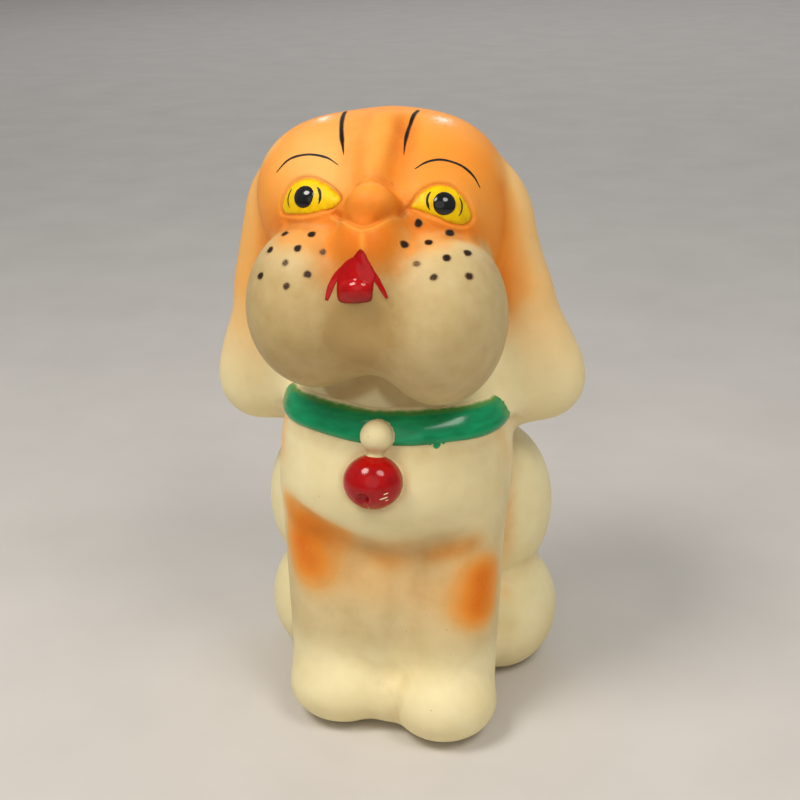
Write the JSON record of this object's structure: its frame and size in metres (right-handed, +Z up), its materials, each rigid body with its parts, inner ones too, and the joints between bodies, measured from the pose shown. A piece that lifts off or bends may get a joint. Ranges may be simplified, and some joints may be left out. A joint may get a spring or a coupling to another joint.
{
  "type": "squeaky toy dog",
  "caption": "Hollow soft-vinyl figure of a sitting long-eared dog with a moulded collar and bell, which squeaks through a reed in its base when it is squeezed.",
  "frame": {"origin": "centre of the footprint's bounding box, on the plane that the toy stands on", "axes": "+Z up through the crown, the dog faces -Y, +X is the dog's own left"},
  "size_m": [0.1092, 0.0855, 0.17],
  "materials": {
    "vinyl": "soft matte vinyl, cream with airbrushed orange",
    "eye_yellow": "glossy hand-painted enamel",
    "black_paint": "glossy hand-painted enamel",
    "dark_spray": "thin sprayed paint",
    "red_paint": "glossy hand-painted enamel",
    "green_paint": "glossy hand-painted enamel",
    "cup_plastic": "moulded polyethylene",
    "reed_holder": "moulded polystyrene",
    "reed_film": "smooth polyester film"
  },
  "bodies": {
    "root": {"vinyl_shell": "vinyl", "squeaker_cup": "cup_plastic", "reed_bed": "reed_holder", "reed_wedge": "reed_holder", "squeaker_grille": "cup_plastic"},
    "reed": {"reed": "reed_film"}
  },
  "joints": [
    {"name": "reed_flutter", "type": "hinge", "parent": "root", "child": "reed", "pos_m": [0, 0.006, 0.0115], "axis": [1, 0, 0], "range_deg": [-3, 3], "stiffness_Nm_per_rad": 0.002}
  ]
}
